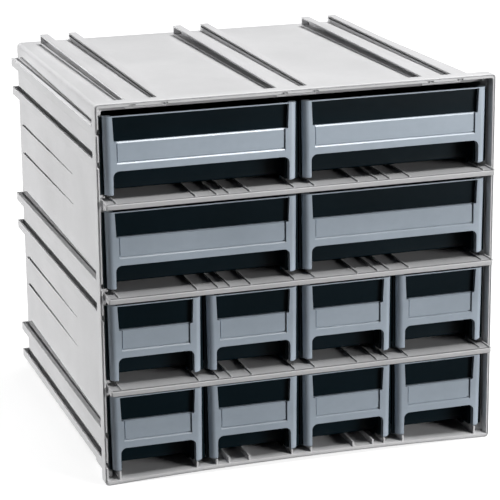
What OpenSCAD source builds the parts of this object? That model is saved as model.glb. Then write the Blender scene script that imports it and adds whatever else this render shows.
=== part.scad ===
// Stackable parts bin cabinet: one open-fronted moulded shell, three slide-in shelves and
// twelve pull-out drawers (two rows of two wide ones over two rows of four narrow ones).
// Each drawer is a dark tray with a light front frame on it; the tray shows in its window.
// Millimetres, +Z up, front faces -Y. Origin: centre of the bounding box in X and Y, bottom in Z.
// Inside the modules Y is measured from the plane of the front rim; rim_y moves it to the origin.

/* [Shell] */
// overall width across the front rim
width = 298.5; // [250:0.5:350]
// overall height of the front rim
height = 279.4; // [250:0.1:320]
// depth from the front rim to the back face
depth = 288.9; // [200:0.1:350]
// wall thickness of the shell
wall = 2; // [1.5:0.1:4]
// thickness of the front rim
rim_t = 2; // [1.5:0.1:4]
// depth of the front rim
rim_d = 10; // [6:0.5:16]
// distance from the front edge to the shoulder inside the rim
shoulder_y = 6.5; // [4:0.5:8]
// how far side walls and roof lie inside the rim at the front
recess_front = 5; // [3:0.1:8]
// how far side walls and roof lie inside the rim at the back
recess_back = 8.5; // [5:0.1:12]
// how far the floor's underside lies above the rim's underside
recess_floor = 3.5; // [3:0.1:5]
// height of the floor's upper face
floor_z = 6; // [5:0.1:9]
// how far the front of the floor arches up between its sides and its middle
bow = 3; // [0.5:0.1:3]
// half width over which the front of the floor arches
bow_hw = 146; // [120:0.5:146]
// depth of the arched front of the floor
apron_d = 20; // [14:0.5:30]

/* [Coupling rails] */
// width of a rail crest
crest = 6.5; // [5:0.1:9]
// distance between the pair centres
pair_pitch = 110.4; // [90:0.1:120]
// outside width of a rail pair
pair_w = 29.5; // [24:0.1:36]
// height of the middle pair on the side walls
side_mid_z = 137; // [120:0.5:150]
// depth of the slot under a crest
slot_d = 5.4; // [3:0.1:6]
// slot height of the first rail of a pair
slot_h1 = 3.8; // [2:0.1:4]
// slot height of the second rail of a pair
slot_h2 = 1.8; // [1:0.1:4]
// thickness of the crest lip
lip_t = 1.2; // [0.8:0.1:2]
// distance from the rail ends to the back face
rail_back = 17; // [5:0.5:30]

/* [Shelves] */
// vertical distance between the rows
row_pitch = 68; // [60:0.1:72]
// thickness of a shelf plate
shelf_t = 2.2; // [1.6:0.1:4]
// thickness of the front lip of a shelf
nose_t = 3.5; // [2.5:0.1:6]
// how far a shelf stands out in front of the rim
nose_out = 10; // [4:0.5:14]
// half width of the front lip of a shelf
nose_hw = 145.5; // [140:0.1:147]
// height of the bead along the front edge of a shelf
bead_h = 0.2; // [0.1:0.1:0.5]
// height of the guide ribs on a shelf
rib_h = 1.3; // [0.8:0.1:3]
// height of the guide ribs on the shell floor
floor_rib_h = 3.5; // [1:0.1:4]
// thickness of a guide rib
rib_t = 0.8; // [0.6:0.1:2]
// distance of a guide rib from its bay boundary
rib_off = 7.7; // [6:0.1:9]

/* [Drawers] */
// bay width of a narrow drawer
bay = 72.6; // [60:0.1:74]
// face width of a narrow drawer
narrow_w = 68; // [50:0.1:70]
// face width of a wide drawer
wide_w = 140.6; // [120:0.1:144]
// front plane of a drawer behind the rim plane
face_y = 1; // [0:0.1:4]
// depth of the drawer's front frame
frame_d = 5; // [4:0.1:8]
// top edge of the frame above the shelf
frame_top = 59.8; // [55:0.1:63]
// lower end of the frame legs above the shelf
leg_z = 3.8; // [2:0.1:8]
// lower edge of the cross band
band_z0 = 21; // [15:0.1:30]
// upper edge of the cross band, also the window sill
band_z1 = 41.5; // [35:0.1:48]
// lower edge of the label recess
label_z = 26.8; // [22:0.1:35]
// thickness of the bar above the window
top_bar = 1.2; // [0.8:0.1:3]
// width of a frame leg
leg_w = 6; // [4:0.1:9]
// wall thickness of the drawer tray
tray_t = 1.8; // [1.2:0.1:3]
// height of the tray's side walls above the shelf
tray_top = 57.4; // [40:0.1:58]
// height of the tray's floor above the shelf
tray_floor = 5.9; // [5.6:0.1:8]
// depth of the finger recess behind the frame front
grip_d = 17; // [12:0.5:25]
// gap between the tray's runner edges and the shelf under them
runner_z = 0.4; // [0.3:0.1:1]
// back of the tray behind the rim plane
tray_back = 286.4; // [200:0.1:286.4]
// how far the tray's window face stands forward into the frame
window_t = 1.4; // [1:0.1:3]

/* [Hidden] */
$fn = 48;
rim_y = -(depth + nose_out) / 2 + nose_out;
hw = width / 2;
wall_f = hw - recess_front;
wall_b = hw - recess_back;
in_f = wall_f - wall;
in_b = wall_b - wall;
roof_f = height - recess_front;
roof_b = height - recess_back;
rail_end = depth - rail_back;
apron_in = apron_d - wall;
apron_x = in_f + (in_b - in_f) * (apron_in - shoulder_y + 1) / (depth - wall - shoulder_y + 1);
rib1 = -pair_w / 2;
rib2 = pair_w / 2 - crest;
shelf1_z = floor_z + 3 * row_pitch;
shelf2_z = floor_z + 2 * row_pitch;
shelf3_z = floor_z + row_pitch;
frame_back = face_y + frame_d;
window_y = frame_back - window_t;
bow_r = (bow_hw * bow_hw + bow * bow) / (2 * bow);

// ---- drawing aids: a box from corner to corner, and prisms along X and along Y ----
module box(x0, x1, y0, y1, z0, z1) {
    translate([x0, y0, z0]) cube([x1 - x0, y1 - y0, z1 - z0]);
}
module prism_y(y0, y1) {
    translate([0, y1, 0]) rotate([90, 0, 0]) linear_extrude(y1 - y0) children();
}
module prism_x(x0, x1) {
    translate([x0, 0, 0]) rotate([90, 0, 90]) linear_extrude(x1 - x0) children();
}
module round_rect(x0, x1, y0, y1, r) {
    translate([x0 + r, y0]) square([x1 - x0 - 2 * r, y1 - y0]);
    translate([x0, y0 + r]) square([x1 - x0, y1 - y0 - 2 * r]);
    for (x = [x0 + r, x1 - r], y = [y0 + r, y1 - r]) translate([x, y]) circle(r);
}
// everything below the arch whose middle is at height z
module below_arch(z) {
    translate([0, z - bow_r]) circle(bow_r, $fn = 720);
}

// ---- shell: drafted box, rim with shoulder, rails outside, shelf ledges and ribs inside ----
// hollow body between a front and a back half width and roof height
module drafted(xf, xb, zf, zb, z0, y0, y1) {
    intersection() {
        translate([0, 0, z0]) linear_extrude(height)
            polygon([[-xf, y0], [xf, y0], [xb, y1], [-xb, y1]]);
        prism_x(-hw, hw) polygon([[y0, z0], [y1, z0], [y1, zb], [y0, zf]]);
    }
}
// the crest strips and the base slab of one rail pair, drawn on a wall facing +Z at z = 0
// (z = 0 is the crest plane, lower values lead into the wall)
module rail_pair(base, into) {
    box(rib1, -rib1, rim_d - 1, rail_end, -into, -base);
    box(rib1, rib1 + crest, rim_d - 1, rail_end, -base - 0.1, 0);
    box(rib2, rib2 + crest, rim_d - 1, rail_end, -base - 0.1, 0);
}
module rail_slots(h1, h2) {
    box(rib1 - 0.5, rib1 + slot_d, shoulder_y - 0.2, rail_end - 2, -lip_t - h1, -lip_t);
    box(rib2 - 0.5, rib2 + slot_d, shoulder_y - 0.2, rail_end - 2, -lip_t - h2, -lip_t);
}
module low_ribs(z) {
    for (e = [z - rib1, z - rib2])
        box(-hw + recess_front + 1.2, -wall_b + 0.5, rim_d - 1, rail_end, e - crest, e);
}
module on_left(z) {
    translate([-hw, 0, z]) rotate([0, -90, 0]) mirror([1, 0, 0]) children();
}
module side_rails() {
    for (k = [-1, 0, 1])
        on_left(side_mid_z + k * pair_pitch) rail_pair(recess_front, recess_back + 0.5);
    low_ribs(side_mid_z + pair_pitch / 2);
    low_ribs(side_mid_z - pair_pitch / 2);
}
module side_slots() {
    for (k = [-1, 0, 1]) on_left(side_mid_z + k * pair_pitch) rail_slots(slot_h1, slot_h2);
}
// strip along both side walls, from the shoulder back to y1
module wall_strip(z0, z1, y1) {
    x1 = in_f + (in_b - in_f) * y1 / depth;
    for (s = [0, 1]) mirror([s, 0, 0]) translate([0, 0, z0]) linear_extrude(z1 - z0)
        polygon([[in_f - 1.2, rim_d], [in_f + 0.5, rim_d], [x1 + 0.5, y1], [x1 - 1.2, y1]]);
}
module ledge_pair(z) {
    // a shelf plate lies on the long lower ledges and slides in under the short upper ones
    wall_strip(z - shelf_t - 1.6, z - shelf_t, depth - wall);
    wall_strip(z + 0.2, z + 1.5, 120);
}
// guide ribs with their tops at z + h; arch lets their feet down into an arched floor
module guide_ribs(z, h, y0, y1, arch) {
    for (s = [-1, 1], b = [[0, 1], [48.2, -1], [48.2, 1], [bay, -1], [bay, 1], [2 * bay, -1]]) {
        x = s * (b[0] + b[1] * rib_off);
        drop = arch * (x / bow_hw) * (x / bow_hw);
        box(x - rib_t / 2, x + rib_t / 2, y0, y1, z - drop - 0.1 - arch / 6, z + h);
    }
}
module cabinet_shell() {
    color([0.76, 0.76, 0.77]) translate([0, rim_y, 0]) {
        difference() {
            union() {
                prism_y(0, rim_d) difference() {
                    round_rect(-hw, hw, 0, height, 3);
                    below_arch(bow);
                }
                drafted(wall_f, wall_b, roof_f, roof_b, recess_floor, rim_d - 1, depth);
                prism_y(rim_d - 1, apron_d) difference() {
                    translate([-wall_f + 0.5, 0]) square([2 * wall_f - 1, floor_z]);
                    below_arch(bow);
                }
                side_rails();
                mirror([1, 0, 0]) side_rails();
                for (k = [-1, 0, 1]) translate([k * pair_pitch, 0, height])
                    rail_pair(recess_front, recess_back + 0.5);
                for (k = [-1, 0, 1]) translate([k * pair_pitch, 0, 0]) {
                    box(rib1, rib1 + crest, apron_d - 1, rail_end, 0, recess_floor + 0.2);
                    box(rib2, rib2 + crest, apron_d - 1, rail_end, 0, recess_floor + 0.2);
                }
            }
            // inside of the rim down to the shoulder
            prism_y(-1, shoulder_y) difference() {
                round_rect(-hw + rim_t, hw - rim_t, floor_z - bow - 0.1, height - rim_t, 1.2);
                below_arch(floor_z);
            }
            drafted(in_f, in_b, roof_f - wall, roof_b - wall, floor_z, shoulder_y - 1,
                depth - wall);
            difference() {
                drafted(in_f, apron_x, floor_z + 0.1, floor_z + 0.1, floor_z - bow - 0.1,
                    shoulder_y - 1, apron_in);
                prism_y(0, apron_d) below_arch(floor_z);
            }
            side_slots();
            mirror([1, 0, 0]) side_slots();
            for (k = [-1, 0, 1]) translate([k * pair_pitch, 0, height])
                rail_slots(slot_h1, slot_h2);
            for (k = [-1, 0, 1]) translate([k * pair_pitch, 0, 0]) {
                box(rib1 - 0.5, rib1 + slot_d, apron_d, rail_end - 2, lip_t, lip_t + 1.8);
                box(rib2 - 0.5, rib2 + slot_d, apron_d, rail_end - 2, lip_t, lip_t + 1.8);
            }
        }
        ledge_pair(shelf1_z);
        ledge_pair(shelf2_z);
        ledge_pair(shelf3_z);
        guide_ribs(floor_z, floor_rib_h, 0.6, apron_in + 0.5, bow);
        guide_ribs(floor_z, floor_rib_h, apron_in, depth - wall, 0);
    }
}

// ---- shelves: plate with guide ribs, thicker nose standing out in front of the rim ----
module shelf(z) {
    translate([0, rim_y, 0]) {
        translate([0, 0, z - shelf_t]) linear_extrude(shelf_t)
            polygon([[-in_f + 0.3, rim_d + 0.3], [-in_f + 0.3, shoulder_y - 0.3],
                [in_f - 0.3, shoulder_y - 0.3], [in_f - 0.3, rim_d + 0.3],
                [in_b - 0.3, depth - wall - 0.5], [-in_b + 0.3, depth - wall - 0.5]]);
        box(-nose_hw, nose_hw, -nose_out, shoulder_y - 0.3, z - nose_t, z);
        box(-nose_hw, nose_hw, -nose_out, -nose_out + 2.6, z - 0.1, z + bead_h);
        for (s = [-1, 1])
            box(s * (nose_hw - 0.6) - 0.6, s * (nose_hw - 0.6) + 0.6, -nose_out,
                shoulder_y - 0.3, z - 0.1, z + rib_h);
        guide_ribs(z, rib_h, -nose_out + 3, depth - wall - 0.5, 0);
    }
}
module shelf_1() { color([0.74, 0.74, 0.75]) shelf(shelf1_z); }
module shelf_2() { color([0.74, 0.74, 0.75]) shelf(shelf2_z); }
module shelf_3() { color([0.74, 0.74, 0.75]) shelf(shelf3_z); }

// ---- drawers: light front frame with window and label recess, dark tray with finger recess ----
// outline of the front frame between leg feet and top bar, with its two openings
module frame_outline(w) {
    difference() {
        union() {
            translate([-w / 2, leg_z + 2.5]) square([w, frame_top - leg_z - 2.5]);
            for (s = [-1, 1]) {
                translate([s * (w / 2 - 2.5), leg_z + 2.5]) circle(2.5);
                translate([s * (w / 2 - leg_w + 2.5), leg_z + 2.5]) circle(2.5);
                translate([s * (w / 2 - leg_w / 2) - leg_w / 2 + 2.5, leg_z])
                    square([leg_w - 5, 4]);
            }
        }
        polygon([[-w / 2 + 6.9, band_z1], [w / 2 - 6.9, band_z1],
            [w / 2 - 6.1, frame_top - top_bar], [-w / 2 + 6.1, frame_top - top_bar]]);
        translate([-w / 2 + leg_w + 4.3, leg_z - 1])
            square([w - 2 * leg_w - 8.6, band_z0 - leg_z + 1]);
        translate([-w / 2 + leg_w, leg_z + 2]) square([w - 2 * leg_w, band_z0 - leg_z - 6.3]);
        for (s = [-1, 1])
            translate([s * (w / 2 - leg_w - 4.3), band_z0 - 4.3]) circle(4.3);
    }
}
module front(w, x, z) {
    b = w / 2 - leg_w - 0.1;
    translate([x, rim_y, z]) difference() {
        prism_y(face_y, frame_back) frame_outline(w);
        // label recess, open at the top
        box(-w / 2 + 8.8, w / 2 - 8.8, face_y - 1, face_y + 1, label_z, band_z1 + 1);
        // hollow back of the band, and the rebate that takes the tray's window face
        box(-w / 2 + 7.9, w / 2 - 7.9, face_y + 2.6, frame_back + 1, band_z0 - 1, band_z1 - 2);
        box(-b - 1.2, b + 1.2, window_y, frame_back + 1, band_z1, frame_top - top_bar - 0.2);
        for (s = [0, 1]) mirror([s, 0, 0]) difference() {
            box(w / 2 - 4.5, w / 2 + 1, face_y - 1, face_y + 4.5, 0, frame_top + 1);
            translate([w / 2 - 4.5, face_y + 4.5, -1]) cylinder(r = 4.5, h = 64);
        }
    }
}
module tray(w, x, z) {
    b = w / 2 - leg_w - 0.1;
    y_in = frame_back;
    grip = face_y + grip_d;
    translate([x, rim_y, z]) {
        for (s = [0, 1]) mirror([s, 0, 0]) {
            // side wall with its runner edge, and the turned-out flange that carries the frame
            box(b - tray_t, b, y_in, tray_back, leg_z, tray_top);
            box(b - tray_t, b, grip, tray_back, runner_z, leg_z + 0.1);
            box(b - tray_t, b + 2.4, y_in, y_in + 1.4, leg_z, tray_top);
        }
        // window wall, and its face that stands forward into the frame
        box(-b, b, y_in, y_in + tray_t, band_z1 - 2, tray_top);
        box(-b - 1, b + 1, window_y, y_in + 0.1, band_z1, frame_top - top_bar - 0.3);
        // roof and back wall of the finger recess, floor, back
        box(-b, b, y_in, grip, band_z1 - 2, band_z1);
        box(-b, b, grip, grip + tray_t, leg_z, band_z1);
        box(-b, b, grip, tray_back, tray_floor - tray_t, tray_floor);
        box(-b, b, tray_back - tray_t, tray_back, tray_floor - tray_t, tray_top);
    }
}
module narrow_front(c, z) { color([0.56, 0.60, 0.65]) front(narrow_w, (c - 2.5) * bay, z); }
module wide_front(c, z) { color([0.56, 0.60, 0.65]) front(wide_w, (c - 1.5) * 2 * bay, z); }
module narrow_tray(c, z) { color([0.10, 0.12, 0.14]) tray(narrow_w, (c - 2.5) * bay, z); }
module wide_tray(c, z) { color([0.10, 0.12, 0.14]) tray(wide_w, (c - 1.5) * 2 * bay, z); }
module front_r1c1() { wide_front(1, shelf1_z); }
module front_r1c2() { wide_front(2, shelf1_z); }
module front_r2c1() { wide_front(1, shelf2_z); }
module front_r2c2() { wide_front(2, shelf2_z); }
module front_r3c1() { narrow_front(1, shelf3_z); }
module front_r3c2() { narrow_front(2, shelf3_z); }
module front_r3c3() { narrow_front(3, shelf3_z); }
module front_r3c4() { narrow_front(4, shelf3_z); }
module front_r4c1() { narrow_front(1, floor_z); }
module front_r4c2() { narrow_front(2, floor_z); }
module front_r4c3() { narrow_front(3, floor_z); }
module front_r4c4() { narrow_front(4, floor_z); }
module tray_r1c1() { wide_tray(1, shelf1_z); }
module tray_r1c2() { wide_tray(2, shelf1_z); }
module tray_r2c1() { wide_tray(1, shelf2_z); }
module tray_r2c2() { wide_tray(2, shelf2_z); }
module tray_r3c1() { narrow_tray(1, shelf3_z); }
module tray_r3c2() { narrow_tray(2, shelf3_z); }
module tray_r3c3() { narrow_tray(3, shelf3_z); }
module tray_r3c4() { narrow_tray(4, shelf3_z); }
module tray_r4c1() { narrow_tray(1, floor_z); }
module tray_r4c2() { narrow_tray(2, floor_z); }
module tray_r4c3() { narrow_tray(3, floor_z); }
module tray_r4c4() { narrow_tray(4, floor_z); }

cabinet_shell();
shelf_1();
shelf_2();
shelf_3();
front_r1c1();
front_r1c2();
front_r2c1();
front_r2c2();
front_r3c1();
front_r3c2();
front_r3c3();
front_r3c4();
front_r4c1();
front_r4c2();
front_r4c3();
front_r4c4();
tray_r1c1();
tray_r1c2();
tray_r2c1();
tray_r2c2();
tray_r3c1();
tray_r3c2();
tray_r3c3();
tray_r3c4();
tray_r4c1();
tray_r4c2();
tray_r4c3();
tray_r4c4();
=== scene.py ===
import math
import bmesh
import bpy
from mathutils import Matrix, Quaternion, Vector


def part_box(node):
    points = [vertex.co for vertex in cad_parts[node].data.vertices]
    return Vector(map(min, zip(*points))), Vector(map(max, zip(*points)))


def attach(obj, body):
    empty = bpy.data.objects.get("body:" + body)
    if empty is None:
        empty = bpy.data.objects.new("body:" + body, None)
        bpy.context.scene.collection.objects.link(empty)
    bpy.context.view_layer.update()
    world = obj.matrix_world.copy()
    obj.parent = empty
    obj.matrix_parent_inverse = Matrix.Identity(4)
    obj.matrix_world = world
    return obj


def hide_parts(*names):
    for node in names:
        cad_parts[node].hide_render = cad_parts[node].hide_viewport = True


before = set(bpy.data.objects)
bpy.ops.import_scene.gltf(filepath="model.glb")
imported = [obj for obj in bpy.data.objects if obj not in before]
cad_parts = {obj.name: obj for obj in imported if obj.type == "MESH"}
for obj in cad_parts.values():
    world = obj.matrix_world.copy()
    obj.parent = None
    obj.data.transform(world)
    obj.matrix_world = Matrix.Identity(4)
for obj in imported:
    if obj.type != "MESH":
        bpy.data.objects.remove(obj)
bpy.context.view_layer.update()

# ==== Cabinet shell: the moulded box ====
# One injection moulding of light grey impact polystyrene, open at the front. Its walls lean in
# towards the back, and a rim with a fine groove in its front face stands proud of them all round.
mm = 0.001
shell_low, shell_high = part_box("cabinet_shell")
rim_front = shell_low.y
half_width = round(shell_high.x / mm, 2)
height = round(shell_high.z / mm, 2)
depth = round((shell_high.y - rim_front) / mm, 2)
rim_depth = 10
# where the mouth of the rim ends and the walls begin
shoulder = 8
wall_half, wall_half_back = 144.13, 140.75
roof, roof_fall = 274.3, 3.4
inner_half, inner_half_back = 142.17, 138.78
inner_back = depth - 2
ceiling, ceiling_fall = 272.3, 3.3
near_roof, near_floor = (260, 280), (0, 10)
floor_top = 6
floor_low = 2.9
arch_half, arch_rise, arch_end = 146, 3, 48
past_side, past_back = 160, 300
anywhere = (-999, 999)


def across(half):
    """A span of x from one side to the other, even about the middle of the cabinet."""
    return -half, half


def block(name, x, y, z):
    """A block between two corners in millimetres. y is counted back from the rim's front plane."""
    bpy.ops.object.select_all(action="DESELECT")
    middle = [sum(span) / 2 * mm for span in (x, y, z)]
    middle[1] += rim_front
    size = [(span[1] - span[0]) * mm for span in (x, y, z)]
    bpy.ops.mesh.primitive_cube_add(size=1, location=middle, scale=size)
    bpy.ops.object.transform_apply(location=True, rotation=False, scale=True)
    piece = bpy.context.object
    piece.name = name
    return piece


def pick(kind, x=anywhere, y=anywhere, z=anywhere, along=None, more=False):
    """Selects what lies whole between these planes, or in one plane where only one number is
    given. Edges may also have to run along one axis."""
    slack = 0.02
    spans = [span if isinstance(span, tuple) else (span, span) for span in (x, y, z)]
    if bpy.context.object.mode == "OBJECT":
        bpy.ops.object.mode_set(mode="EDIT")
    bpy.ops.mesh.select_mode(type=kind)
    if not more:
        bpy.ops.mesh.select_all(action="DESELECT")
    mesh = bmesh.from_edit_mesh(bpy.context.object.data)
    for part in {"VERT": mesh.verts, "EDGE": mesh.edges, "FACE": mesh.faces}[kind]:
        corners = [part.co] if kind == "VERT" else [v.co for v in part.verts]
        if along is not None:
            way = corners[1] - corners[0]
            if abs(way["xyz".index(along)]) < 0.9 * way.length:
                continue
        places = [(c.x / mm, (c.y - rim_front) / mm, c.z / mm) for c in corners]
        if all(low - slack < p < high + slack
               for place in places for p, (low, high) in zip(place, spans)):
            part.select_set(True)
    bmesh.update_edit_mesh(bpy.context.object.data)


def round_off(radius, steps):
    bpy.ops.mesh.bevel(offset=radius * mm, segments=steps, affect="EDGES")


def shift(x=0, y=0, z=0):
    """Moves the selection, in millimetres."""
    bpy.ops.transform.translate(value=(x * mm, y * mm, z * mm))


def draw_in(half, new_half):
    """Narrows the selection evenly from both sides, from one half width to another."""
    bpy.ops.transform.resize(value=(new_half / half, 1, 1), center_override=(0, 0, 0))


def extrude(y=0, z=0):
    bpy.ops.mesh.extrude_region_move(
        TRANSFORM_OT_translate={"value": (0, y * mm, z * mm)})


def done(piece):
    """Leaves edit mode with the piece as the active one."""
    if bpy.context.object and bpy.context.object.mode == "EDIT":
        bpy.ops.object.mode_set(mode="OBJECT")
    bpy.ops.object.select_all(action="DESELECT")
    bpy.context.view_layer.objects.active = piece
    piece.select_set(True)
    return piece


def apply_modifier(piece, kind, **settings):
    done(piece)
    step = piece.modifiers.new(kind.lower(), kind)
    for key, value in settings.items():
        setattr(step, key, value)
    bpy.ops.object.modifier_apply(modifier=step.name)


def carve(piece, cutter, way="DIFFERENCE"):
    apply_modifier(piece, "BOOLEAN", object=cutter, operation=way, solver="EXACT")
    bpy.data.objects.remove(cutter)


def join(first, *others):
    done(first)
    for other in others:
        other.select_set(True)
    bpy.ops.object.join()
    return first


def copy_of(piece, name, move):
    """A copy with its own mesh, moved in its mesh; a mirrored one is turned right side out."""
    twin = piece.copy()
    twin.data = piece.data.copy()
    twin.name = name
    bpy.context.scene.collection.objects.link(twin)
    twin.data.transform(move)
    if move.determinant() < 0:
        twin.data.flip_normals()
    return twin


def smooth(piece, angle=50):
    """Smooth shading over the rounded edges that leaves the flat faces flat."""
    done(piece)
    bpy.ops.object.shade_smooth_by_angle(angle=math.radians(angle))
    apply_modifier(piece, "WEIGHTED_NORMAL", keep_sharp=True, weight=80)


def below_arch(middle):
    """The floor arches up towards its middle. This is everything below such an arch."""
    radius = (arch_half ** 2 + arch_rise ** 2) / (2 * arch_rise)
    bpy.ops.mesh.primitive_cylinder_add(vertices=1440, radius=radius * mm, depth=2,
                                        location=(0, 0, (middle - radius) * mm),
                                        rotation=(math.pi / 2, 0, 0))
    bpy.ops.object.transform_apply(location=True, rotation=True, scale=False)
    return bpy.context.object


# rim: rounded corners and arched bottom, then the groove let into its front face
shell = block("cabinet_shell_moulding", across(half_width), (0, rim_depth), (0, height))
pick("EDGE", along="y")
round_off(3, 5)
done(shell)
carve(shell, below_arch(arch_rise))
pick("EDGE", y=0)
round_off(0.45, 3)
pick("EDGE", y=rim_depth)
round_off(0.5, 2)
pick("FACE", y=0)
for thickness, sink in ((0.1, 0), (0.08, -1.1), (0.6, 0), (0.08, 1.1)):
    bpy.ops.mesh.inset(thickness=thickness * mm, depth=sink * mm)
done(shell)

# walls, with their draft; behind its arched front part the floor is flat and lies higher
walls = block("walls", across(wall_half), (shoulder, depth), (0, roof))
pick("VERT", y=depth)
draw_in(wall_half, wall_half_back)
pick("VERT", y=depth, z=roof)
shift(z=-roof_fall)
pick("EDGE", along="y", z=near_roof)
round_off(3, 5)
pick("EDGE", along="y", z=near_floor)
round_off(1.2, 3)
done(walls)
carve(walls, below_arch(arch_rise))
carve(walls, block("under", across(past_side), (arch_end + 2, past_back), (-1, 3.5)))
pick("EDGE", y=depth)
round_off(1.2, 3)
done(walls)
carve(shell, walls, "UNION")

# inside: the mouth of the rim down to its shoulder
mouth_half = 146.95
mouth_half_height, mouth_middle = 136, 140.3
flare, flare_depth = 0.25, 0.3
cavity = block("cavity", across(mouth_half), (flare_depth, shoulder + 0.5), (floor_low, 276.3))
pick("EDGE", along="y", z=near_roof)
round_off(1.2, 3)
done(cavity)
carve(cavity, below_arch(floor_top))
# it flares at the front, which takes the edge off the lip
pick("FACE", y=flare_depth)
extrude(y=-flare_depth)
bpy.ops.transform.resize(value=((mouth_half + flare) / mouth_half, 1,
                                (mouth_half_height + flare) / mouth_half_height),
                         center_override=(0, 0, mouth_middle * mm))
extrude(y=-1)
done(cavity)
carve(shell, cavity)

# then the hollow of the box, where the floor follows the arch as far as it can be seen
cavity = block("cavity", across(inner_half), (5, inner_back), (floor_low, ceiling))
pick("VERT", y=inner_back)
draw_in(inner_half, inner_half_back)
pick("VERT", y=inner_back, z=ceiling)
shift(z=-ceiling_fall)
pick("EDGE", along="y", z=near_roof)
round_off(1, 2)
done(cavity)
carve(cavity, below_arch(floor_top))
carve(cavity, block("flat_floor", across(past_side), (arch_end, past_back), (0, floor_top)))
carve(shell, cavity)

# the step between the two is cut back to a steep lead-in
lead_half, lead_half_back, lead_back = 145.8, 142.1, 11.5
lead_in = block("lead_in", across(lead_half), (shoulder, lead_back), (8, 274.9))
pick("VERT", y=lead_back)
draw_in(lead_half, lead_half_back)
pick("VERT", y=lead_back, z=near_roof)
shift(z=-2.65)
done(lead_in)
carve(shell, lead_in)

# ==== Coupling rails and ribs of the shell ====
# Moulded on in one with the shell: pairs of undercut rails on the roof and the sides, which couple
# cabinets side by side and on top of each other, low ribs between them, and runners underneath.
rail_width = 6.5
rail_start, rail_end = 9.2, 271.9
slot_end = rail_end - 2
rail_round = 0.35
lip = 1.2
pair_half = 14.75
pair_pitch = 110.4
pair_lefts = (-pair_half, pair_half - rail_width)
side_middle = 137
# a rail's foot ends inside the wall, which falls away from the crests towards the back
foot, foot_climb = -9, 2.8
# the strip between two rails ends this far inside them
tuck = 0.1
# keeps faces of two parts apart that would lie in one plane
hair = 0.02


def rail(left, slot_low, slot_high, rise=0, fall=0):
    """One rail with its crest at z = 0 and its slot open to the left, closed at the back. Towards
    the back the slot's upper side may rise to slot_high, and its lower side fall from slot_low."""
    piece = block("rail", (left, left + rail_width), (rail_start, rail_end), (foot, 0))
    pick("VERT", y=rail_start, z=foot)
    shift(z=foot_climb)
    pick("EDGE", along="y", z=0)
    pick("EDGE", y=rail_end, more=True)
    round_off(rail_round, 2)
    done(piece)
    slot = block("slot", (left - 1, left + 5.8), (shoulder, slot_end), (slot_low, slot_high))
    pick("VERT", y=shoulder, z=slot_high)
    shift(z=-rise)
    pick("VERT", y=slot_end, z=slot_low)
    shift(z=-fall)
    done(slot)
    carve(piece, slot)
    return piece


def rail_pair(first, second, between, front_between, inset=tuck):
    """Two rails and the strip between them, which may climb to another height at the front."""
    start, low = rail_start + tuck, foot + tuck
    strip = block("base", (inset - pair_half, pair_half - tuck), (start, rail_end - tuck),
                  (low, between))
    pick("VERT", y=start, z=low)
    shift(z=foot_climb)
    pick("VERT", y=start, z=between)
    shift(z=front_between - between)
    done(strip)
    return join(rail(pair_lefts[0], **first), rail(pair_lefts[1], **second), strip)


def for_both_rails(name, x0, x1, y, z):
    """A pair of blocks, from x0 to x1 right of the left side of each rail."""
    return join(*[block(name, (left + x0, left + x1), y, z) for left in pair_lefts])


# on the roof the left rail's slot opens down towards the back, with no strip below it
roof_pair = rail_pair(dict(slot_low=-4, slot_high=-lip, fall=2.4),
                      dict(slot_low=-2.6, slot_high=-lip),
                      between=-6, front_between=-3.6, inset=6.1)
# on the sides the upper rail of each pair has a thicker lip, and its slot tapers to the front
side_pair = rail_pair(dict(slot_low=-4.9, slot_high=-2.5, rise=1.2),
                      dict(slot_low=-4.6, slot_high=-lip),
                      between=-5.04, front_between=-5.04)
# the slots run on through the shoulder of the rim, and nick the edge of its mouth, on the roof
# and the left side only
notch_pair = for_both_rails("notch", -0.5, 5.4, (6.3, 10.6), (-lip - 3.8, -lip))
roof_nicks, side_nicks = [for_both_rails("nick", 0.4, 5.1, (-1, 6.5), (-5, top))
                          for top in (-1.7, -0.95)]

mirrored = Matrix.Scale(-1, 4, (1, 0, 0))
on_roof = Matrix.Translation((0, 0, (height - hair) * mm))
on_right = Matrix(((0, 0, 1, (half_width - hair) * mm), (0, 1, 0, 0),
                   (-1, 0, 0, side_middle * mm), (0, 0, 0, 1)))
on_left = mirrored @ on_right
rails = []
notches = []
nicks = []
for k in (-1, 0, 1):
    along_roof = Matrix.Translation((k * pair_pitch * mm, 0, 0))
    along_side = Matrix.Translation((0, 0, k * pair_pitch * mm))
    for pair, nick_pair, move in ((roof_pair, roof_nicks, along_roof @ on_roof),
                                  (side_pair, None, along_side @ on_right),
                                  (side_pair, side_nicks, along_side @ on_left)):
        rails.append(copy_of(pair, "rails", move))
        if nick_pair:
            notches.append(copy_of(notch_pair, "notches", move))
            nicks.append(copy_of(nick_pair, "nicks", move))
    for left in pair_lefts:
        x = k * pair_pitch + left
        runner = block("runner", (x, x + rail_width), (19.2, rail_end), (hair, 3.8))
        pick("EDGE", along="y", z=hair)
        round_off(rail_round, 2)
        done(runner)
        carve(runner, block("slot", (x - 1, x + 5.4), (19, slot_end), (lip, lip + 1.8)))
        rails.append(runner)
for pattern in (roof_pair, side_pair, notch_pair, roof_nicks, side_nicks):
    bpy.data.objects.remove(pattern)


def on_side(s, near, far):
    """A span of x on the left (s = -1) or the right (s = 1), by distance from the middle."""
    return sorted((s * near, s * far))


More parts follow.
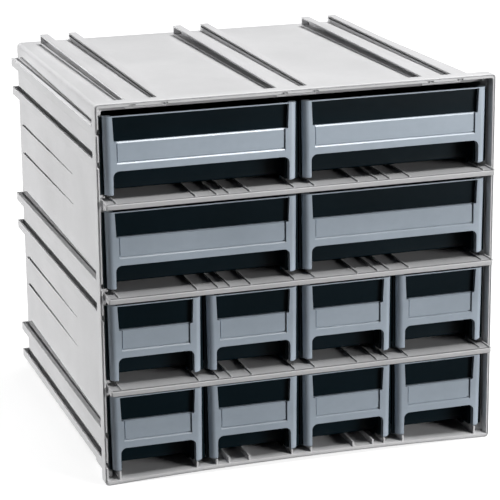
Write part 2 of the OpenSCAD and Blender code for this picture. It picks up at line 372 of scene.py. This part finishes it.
low_crest = -143.05
grooves = []
for k in (-0.5, 0.5):
    for edge in (pair_half, rail_width - pair_half):
        z = side_middle + k * pair_pitch + edge
        low_rib = block("low_rib", (low_crest, -139), (rail_start, rail_end),
                        (z - rail_width, z))
        pick("EDGE", x=low_crest, along="y")
        pick("EDGE", x=low_crest, y=rail_end, more=True)
        round_off(0.4, 2)
        done(low_rib)
        # where the wall has fallen away behind the rib, its upper side is hollow, and the wall
        # has a fine groove along it
        carve(low_rib, block("hollow", (-142.65, -140.2), (60, slot_end), (z - 5, z + 1)))
        for s in (-1, 1):
            grooves.append(block("groove", on_side(s, 141.6, 144), (99, slot_end),
                                 (z - 3, z + 0.45)))
        rails += [low_rib, copy_of(low_rib, "low_rib", mirrored)]
carve(shell, join(*notches))
carve(shell, join(*nicks))
carve(shell, join(*grooves))

# shelf ledges on the side walls: each shelf lies on a long one, with a short one above it
shelf_tops = (210, 142, 74)
plate_thick = 2.2
rib_end = 286.5
wall_lean = 3.4
inside = []
for top in shelf_tops:
    for z0, z1, y1 in ((top - 3.8, top - plate_thick, rib_end), (top + 0.2, top + 1.5, 120)):
        ledge = block("ledge", (-143, -140.95), (rim_depth, y1), (z0, z1))
        pick("VERT", y=y1)
        shift(x=y1 / depth * wall_lean)
        inside += [done(ledge), copy_of(ledge, "ledge", mirrored)]

# guide ribs stand on the floor, in two lengths, because its front part follows the arch; each
# keeps clear of the trays beside it, so it is thicker on the side away from them
rib_places = (7.7, 40.5, 55.9, 64.9, 80.3, 137.5)
rib_sides = ((0.9, 0.4), (0.6, 0.6), (0.6, 0.6), (0.4, 0.9), (0.9, 0.4), (0.4, 0.9))
rib_top = floor_top + 3.5
rib_joint = arch_end + 0.2
for s in (-1, 1):
    for place, (inner, outer) in zip(rib_places, rib_sides):
        arched = floor_top - arch_rise * (place / arch_half) ** 2
        for y, ground in (((0.8, rib_joint), arched), ((rib_joint, rib_end), floor_top)):
            rib = block("floor_rib", on_side(s, place - inner, place + outer), y,
                        (ground - 1, rib_top))
            pick("EDGE", along="y", z=rib_top)
            round_off(0.12, 1)
            inside.append(done(rib))

join(shell, *rails, *inside)
smooth(shell)
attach(shell, "cabinet")
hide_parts("cabinet_shell")


def linear(code):
    """A colour in linear light, from its hexadecimal code."""
    parts = [int(code[i:i + 2], 16) / 255 for i in (1, 3, 5)]
    return [p / 12.92 if p <= 0.04045 else ((p + 0.055) / 1.055) ** 2.4 for p in parts] + [1]


def add(material, kind, settings=(), inputs=(), links=()):
    """Adds one node. inputs are values by socket, links are (socket, node, its output)."""
    node = material.node_tree.nodes.new(kind)
    for key, value in dict(settings).items():
        setattr(node, key, value)
    for socket, value in dict(inputs).items():
        node.inputs[socket].default_value = value
    for socket, source, output in links:
        material.node_tree.links.new(source.outputs[output], node.inputs[socket])
    return node


def moulded_plastic(name, dark, light, roughness, grain, specular=0.5):
    """Moulded polystyrene: it has the faint grain of its mould, and is slightly uneven in tone
    where the plastic flowed."""
    material = bpy.data.materials.new(name)
    material.use_nodes = True
    plastic = material.node_tree.nodes["Principled BSDF"]
    plastic.inputs["IOR"].default_value = 1.57
    plastic.inputs["Specular IOR Level"].default_value = specular
    place = add(material, "ShaderNodeTexCoord")
    # flow clouds about 60 mm across, and a finer mottle of about 5 mm
    cloud, fleck = 60, 5
    clouds = add(material, "ShaderNodeTexNoise", {}, {"Scale": 1 / (cloud * mm), "Detail": 2.0},
                 [("Vector", place, "Object")])
    mottle = add(material, "ShaderNodeTexNoise", {}, {"Scale": 1 / (fleck * mm), "Detail": 3.0},
                 [("Vector", place, "Object")])
    both = add(material, "ShaderNodeMath", {"operation": "MULTIPLY_ADD"}, {1: 0.35},
               [(0, mottle, "Fac"), (2, clouds, "Fac")])
    tone = add(material, "ShaderNodeMapRange", {}, {"From Min": 0.45, "From Max": 0.95},
               [("Value", both, "Value")])
    colour = add(material, "ShaderNodeMix", {"data_type": "RGBA"},
                 {"A": linear(dark), "B": linear(light)}, [("Factor", tone, "Result")])
    shine = add(material, "ShaderNodeMapRange", {},
                {"To Min": roughness - 0.04, "To Max": roughness + 0.04},
                [("Value", mottle, "Fac")])
    # mould grain: the real one is about 0.1 mm wide, drawn at 0.45 mm so that it shows
    pit, pit_depth = 0.45, 0.1
    pits = add(material, "ShaderNodeTexNoise", {}, {"Scale": 1 / (pit * mm), "Detail": 2.0},
               [("Vector", place, "Object")])
    relief = add(material, "ShaderNodeBump", {}, {"Strength": grain, "Distance": pit_depth * mm},
                 [("Height", pits, "Fac")])
    for socket, source, output in (("Base Color", colour, "Result"),
                                   ("Roughness", shine, "Result"),
                                   ("Normal", relief, "Normal")):
        material.node_tree.links.new(source.outputs[output], plastic.inputs[socket])
    return material


def cover(piece, material):
    piece.data.materials.clear()
    piece.data.materials.append(material)


# moulded impact polystyrene, light grey: the bead-blasted mould leaves it satin, so that it
# takes the light softly and mirrors nothing
shell_plastic = moulded_plastic("light_grey_polystyrene", "#c4c4c5", "#cececf", 0.5, 0.25,
                                specular=0.35)
cover(shell, shell_plastic)

# ==== Shelves ====
# The same moulding three times, of the same grey plastic as the shell, with its colour painted a
# shade darker
# for the shade the shelves lie in: a thin plate with pairs of guide ribs and a thicker nose in
# front of the rim. Each slides in from the front between the ledges.
plate_half, plate_half_back = 141.95, 138.5
plate_back = 286.4
nose_half = 145.5
nose_front, nose_back = -10, 6.2
guide_front = -6.8


def shelf(name, top):
    plate = block(name, across(plate_half), (0, plate_back), (top - plate_thick, top))
    pick("VERT", y=plate_back)
    draw_in(plate_half, plate_half_back)
    done(plate)
    low = top - 3.5
    nose = block("nose", across(nose_half), (nose_front, nose_back), (low, top + hair))
    pick("EDGE", y=nose_front, along="z")
    round_off(1.2, 3)
    pick("EDGE", y=(nose_front, nose_front + 1.5))
    pick("EDGE", z=low, more=True)
    round_off(0.5, 3)
    done(nose)
    # the groove leans back as it goes down, so that its overhanging back wall stays dark
    groove = block("groove", across(nose_half - 1.6), (-9.6, -8.2), (top - 1, top + 1))
    pick("VERT", z=top - 1)
    shift(y=2.4)
    done(groove)
    carve(nose, groove)
    parts = [nose]
    # a bead on each side of the nose and the guide ribs stand equally high on the plate
    standing = (top - 0.5, top + 1.3)
    for s in (-1, 1):
        bead = block("side_bead", on_side(s, nose_half - 1.2, nose_half), (-9.2, nose_back),
                     standing)
        pick("EDGE", z=standing[1])
        round_off(0.3, 2)
        parts.append(done(bead))
        for place in rib_places:
            rib = block("rib", (s * place - 0.4, s * place + 0.4),
                        (guide_front, plate_back - 0.1), standing)
            pick("EDGE", z=standing[1])
            pick("EDGE", y=guide_front, along="z", more=True)
            round_off(0.15, 1)
            parts.append(done(rib))
    join(plate, *parts)
    smooth(plate)
    return plate


# the same moulded polystyrene as the shell, a little glossier; its colour is painted a shade
# darker for the shade that falls on the shelves, under the shelf above and between the drawers
shade_darkened_shelf_plastic = moulded_plastic("light_grey_polystyrene_painted_shade", "#aaaaab", "#b6b6b7", 0.45, 0.25)
for k, top in enumerate(shelf_tops, 1):
    piece = shelf(f"shelf_{k}_moulding", top)
    cover(piece, shade_darkened_shelf_plastic)
    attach(piece, "cabinet")
    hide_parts(f"shelf_{k}")

# ==== Drawer fronts ====
# Blue-grey moulded polystyrene frames that are fixed on the flanges of the trays. Each has two
# legs, a window and, below that, a cross band with a recess for a card; the fingers hook in under
# the band.
bay = 72.6
narrow = 68
wide = narrow + bay
front_face, frame_back = 1, 6
behind = 7
frame_top = 60
leg_foot = 3.8
leg = 6
band_low = 21
card_low = 26.8
card_floor = 2
card_inset = 8.8
slot_depth = 3.1
sill = 41.5
window_top = frame_top - 0.7
window_inset, window_inset_top = 6.9, 6.1


def drawer_front(width):
    """One front in the middle of the cabinet, for a drawer that stands on z = 0."""
    half = width / 2
    front = block("drawer_front", across(half), (front_face, frame_back), (leg_foot, frame_top))
    pick("EDGE", along="z", y=front_face)
    round_off(4.5, 7)
    # the outer edges draw in a little towards the feet
    pick("VERT", z=leg_foot)
    draw_in(half, half - 0.6)
    done(front)
    window = block("window", across(half - window_inset), (0, behind), (sill, window_top))
    pick("VERT", z=window_top)
    draw_in(half - window_inset, half - window_inset_top)
    done(window)
    carve(front, window)
    fingers = block("fingers", across(half - leg), (0, behind), (0, band_low))
    pick("EDGE", along="y", z=band_low)
    round_off(4.3, 6)
    done(fingers)
    carve(front, fingers)
    card = block("card", across(half - card_inset), (0, card_floor), (card_low, sill + 1))
    pick("EDGE", along="x", y=card_floor, z=card_low)
    round_off(0.4, 2)
    done(card)
    carve(front, card)
    # narrow slots at both ends and the lower edge of the recess take the edges of the card
    for s in (-1, 1):
        carve(front, block("card_slot", on_side(s, half - 9.7, half - card_inset),
                           (0, slot_depth), (card_low, sill - 0.4)))
    for label, inset, y, z in (
            ("card_slot", 9, (0, slot_depth), (card_low, card_low + 0.9)),
            ("hollow", 7.9, (3.6, behind), (band_low - 1, sill - 2)),
            ("rebate", 4.9, (4.6, behind), (sill, frame_top - 1.4)),
            # the bar above the window is only a thin strip
            ("strip", 5.5, (2.1, behind), (frame_top - 1.6, frame_top + 2))):
        carve(front, block(label, across(half - inset), y, z))
    pick("EDGE", z=leg_foot, y=(front_face, frame_back - 0.1))
    round_off(1.3, 3)
    done(front)
    # chamfers that catch the light, below the card and on the sill above it: the cutter's back
    # slopes at 45 degrees, which takes 0.85 mm off each side of the edge
    for edge, top in ((front_face, card_low), (card_floor, sill)):
        back = edge + 1.15
        chamfer = block("chamfer", across(half - card_inset), (0, back), (top - 1, top + 0.3))
        pick("VERT", y=back, z=top - 1)
        shift(y=-1.3)
        done(chamfer)
        carve(front, chamfer)
    pick("VERT")
    bpy.ops.mesh.remove_doubles(threshold=0.005 * mm)
    smooth(front, 35)
    return front


# moulded polystyrene, blue-grey, from a smoother mould: a soft gloss that draws light lines along
# the edges
front_plastic = moulded_plastic("blue_grey_polystyrene", "#98a3ae", "#a3aeb9", 0.34, 0.2)
fronts = {width: drawer_front(width) for width in (narrow, wide)}
cells = []
for row, top in enumerate((*shelf_tops, floor_top), 1):
    width, columns, pitch = (wide, 2, 2 * bay) if row < 3 else (narrow, 4, bay)
    for column in range(1, columns + 1):
        x = (column - (columns + 1) / 2) * pitch
        cells.append((f"r{row}c{column}", width, Matrix.Translation((x * mm, 0, top * mm))))
for cell, width, move in cells:
    piece = copy_of(fronts[width], f"front_{cell}_moulding", move)
    cover(piece, front_plastic)
    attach(piece, f"drawer_body_{cell}")
    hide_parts(f"front_{cell}")
for pattern in fronts.values():
    bpy.data.objects.remove(pattern)

# ==== Drawer trays ====
# Open trays of smoked, nearly black polystyrene on two runner edges. The front wall shows in the
# window of the frame, stands in behind the band for the fingers, and has flanges for the frame.
tray_back = plate_back
tray_top = 57.4
tray_low = 4.1
tray_wall = 1.8
# the front wall stands at recess below recess_top, and at window_wall above it
window_wall, recess = frame_back, 18
recess_top = 39.5
window_face = 4.62
soft = 0.3


def drawer_tray(width):
    side = width / 2 - leg - 0.1
    tray = block("drawer_tray", across(side), (recess, tray_back), (tray_low, recess_top))
    pick("FACE", z=recess_top)
    extrude(z=tray_top - recess_top)
    pick("FACE", y=recess, z=(recess_top, tray_top))
    extrude(y=window_wall - recess)
    pick("EDGE", along="z", y=tray_back)
    round_off(2.5, 4)
    pick("EDGE", z=tray_low)
    round_off(1.2, 3)
    pick("EDGE", y=recess, z=recess_top)
    round_off(2, 4)
    pick("FACE", z=tray_top)
    bpy.ops.mesh.delete(type="FACE")
    done(tray)
    apply_modifier(tray, "SOLIDIFY", thickness=tray_wall * mm, offset=-1, use_even_offset=True)
    apply_modifier(tray, "BEVEL", width=soft * mm, segments=2, limit_method="ANGLE",
                   angle_limit=math.radians(60))
    parts = [block("window_face", across(side + 1), (window_face, 6.2), (sill, 58.3))]
    pick("EDGE", y=window_face)
    round_off(soft, 2)
    done(parts[0])
    for s in (-1, 1):
        for label, near, far, y, z in (
                ("runner", side - tray_wall, side, (18.5, tray_back - 2.5), (0.4, 6)),
                ("cheek", side - tray_wall, side, (window_wall, 19), (leg_foot, 41)),
                ("flange", side - 1, side + 7.9, (frame_back + hair, 7.4), (leg_foot, 59.2))):
            parts.append(block(label, on_side(s, near, far), y, z))
            pick("EDGE", z=z[0])
            pick("EDGE", along="z", more=True)
            round_off(soft, 2)
            done(parts[-1])
    join(tray, *parts)
    smooth(tray)
    return tray


# moulded polystyrene with a smoke-black dye: nearly black with a cold cast, half glossy, and too
# dark to see through
tray_plastic = moulded_plastic("smoked_polystyrene", "#021016", "#05151c", 0.3, 0.1,
                               specular=0.13)
trays = {width: drawer_tray(width) for width in (narrow, wide)}
for cell, width, move in cells:
    piece = copy_of(trays[width], f"tray_{cell}_moulding", move)
    cover(piece, tray_plastic)
    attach(piece, f"drawer_body_{cell}")
    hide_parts(f"tray_{cell}")
for pattern in trays.values():
    bpy.data.objects.remove(pattern)

# ==== Camera ====
# Above and to the left of the cabinet, with a long lens and no shift, and turned a little about
# its own axis. Its place, like those of the lamps, is in metres.
eye = Vector((-0.5000, -1.57065, 0.5990))
aim = Vector((0.00785, 0.0050, 0.12175))
roll = Quaternion((0, 0, 1), math.radians(-0.61))
bpy.ops.object.camera_add(location=eye)
camera = bpy.context.object
camera.name = "camera"
camera.data.lens = 158.5
camera.data.sensor_width = 36
camera.data.clip_start = 0.05
camera.data.clip_end = 30
camera.rotation_mode = "QUATERNION"
camera.rotation_quaternion = (aim - eye).to_track_quat("-Z", "Y") @ roll
bpy.context.scene.camera = camera
bpy.context.scene.view_settings.view_transform = "Standard"

# ==== Studio ====
# A white floor that keeps the cabinet's shadow, and five soft lamps: steeply above the front, low
# in front on the right, overhead, and one low on each side, behind the front, for the side walls.
bpy.ops.mesh.primitive_plane_add(size=8, location=(0, 0, 0))
floor = bpy.context.object
floor.name = "studio_floor"
bpy.ops.object.transform_apply(location=True, rotation=False, scale=True)
# matt white paper: the camera sees the sheet lifted to white, least near the cabinet, and the
# light on the cabinet isn't changed by that
paper = bpy.data.materials.new("white_paper")
paper.use_nodes = True
sheet = paper.node_tree.nodes["Principled BSDF"]
sheet.inputs["Roughness"].default_value = 0.9
path = add(paper, "ShaderNodeLightPath")
spot = add(paper, "ShaderNodeTexCoord")
away = add(paper, "ShaderNodeVectorMath", {"operation": "LENGTH"}, {}, [(0, spot, "Object")])
rise = add(paper, "ShaderNodeMapRange", {},
           {"From Min": 0.5, "From Max": 1.6, "To Min": 0.84, "To Max": 1.0},
           [("Value", away, "Value")])
lift = add(paper, "ShaderNodeMath", {"operation": "MULTIPLY"}, {},
           [(0, path, "Is Camera Ray"), (1, rise, "Result")])
tone = add(paper, "ShaderNodeMix", {"data_type": "RGBA"},
           {"A": linear("#404040"), "B": linear("#a0a0a0")}, [("Factor", path, "Is Camera Ray")])
paper.node_tree.links.new(tone.outputs["Result"], sheet.inputs["Base Color"])
sheet.inputs["Emission Color"].default_value = (1, 1, 1, 1)
paper.node_tree.links.new(lift.outputs["Value"], sheet.inputs["Emission Strength"])
cover(floor, paper)

# plain white behind the cabinet, and only a little light from there
room = bpy.data.worlds.new("white_room")
bpy.context.scene.world = room
room.use_nodes = True
lit = room.node_tree.nodes["Background"]
lit.inputs["Color"].default_value = (1, 1, 1, 1)
path = add(room, "ShaderNodeLightPath")
glow = add(room, "ShaderNodeMapRange", {}, {"To Min": 0.02, "To Max": 1.0},
           [("Value", path, "Is Camera Ray")])
room.node_tree.links.new(glow.outputs["Result"], lit.inputs["Strength"])

cabinet_middle = Vector((0, 0, 0.14))
for name, place, size, power in (("lamp_key", (0.52, -0.62, 2.1), (0.6, 0.4), 34),
                                 ("lamp_front", (1.65, -1.85, 0.43), (0.9, 0.5), 52),
                                 ("lamp_overhead", (0.33, 0.3, 2.3), (0.9, 0.8), 28),
                                 ("lamp_left", (-2.1, 0.75, 0.17), (0.7, 0.3), 50),
                                 ("lamp_right", (2.1, 0.9, 0.2), (0.7, 0.3), 10)):
    bpy.ops.object.light_add(type="AREA", location=place)
    lamp = bpy.context.object
    lamp.name = name
    lamp.data.shape = "RECTANGLE"
    lamp.data.size, lamp.data.size_y = size
    lamp.data.energy = power
    towards = cabinet_middle - lamp.location
    lamp.rotation_euler = towards.to_track_quat("-Z", "Y").to_euler()
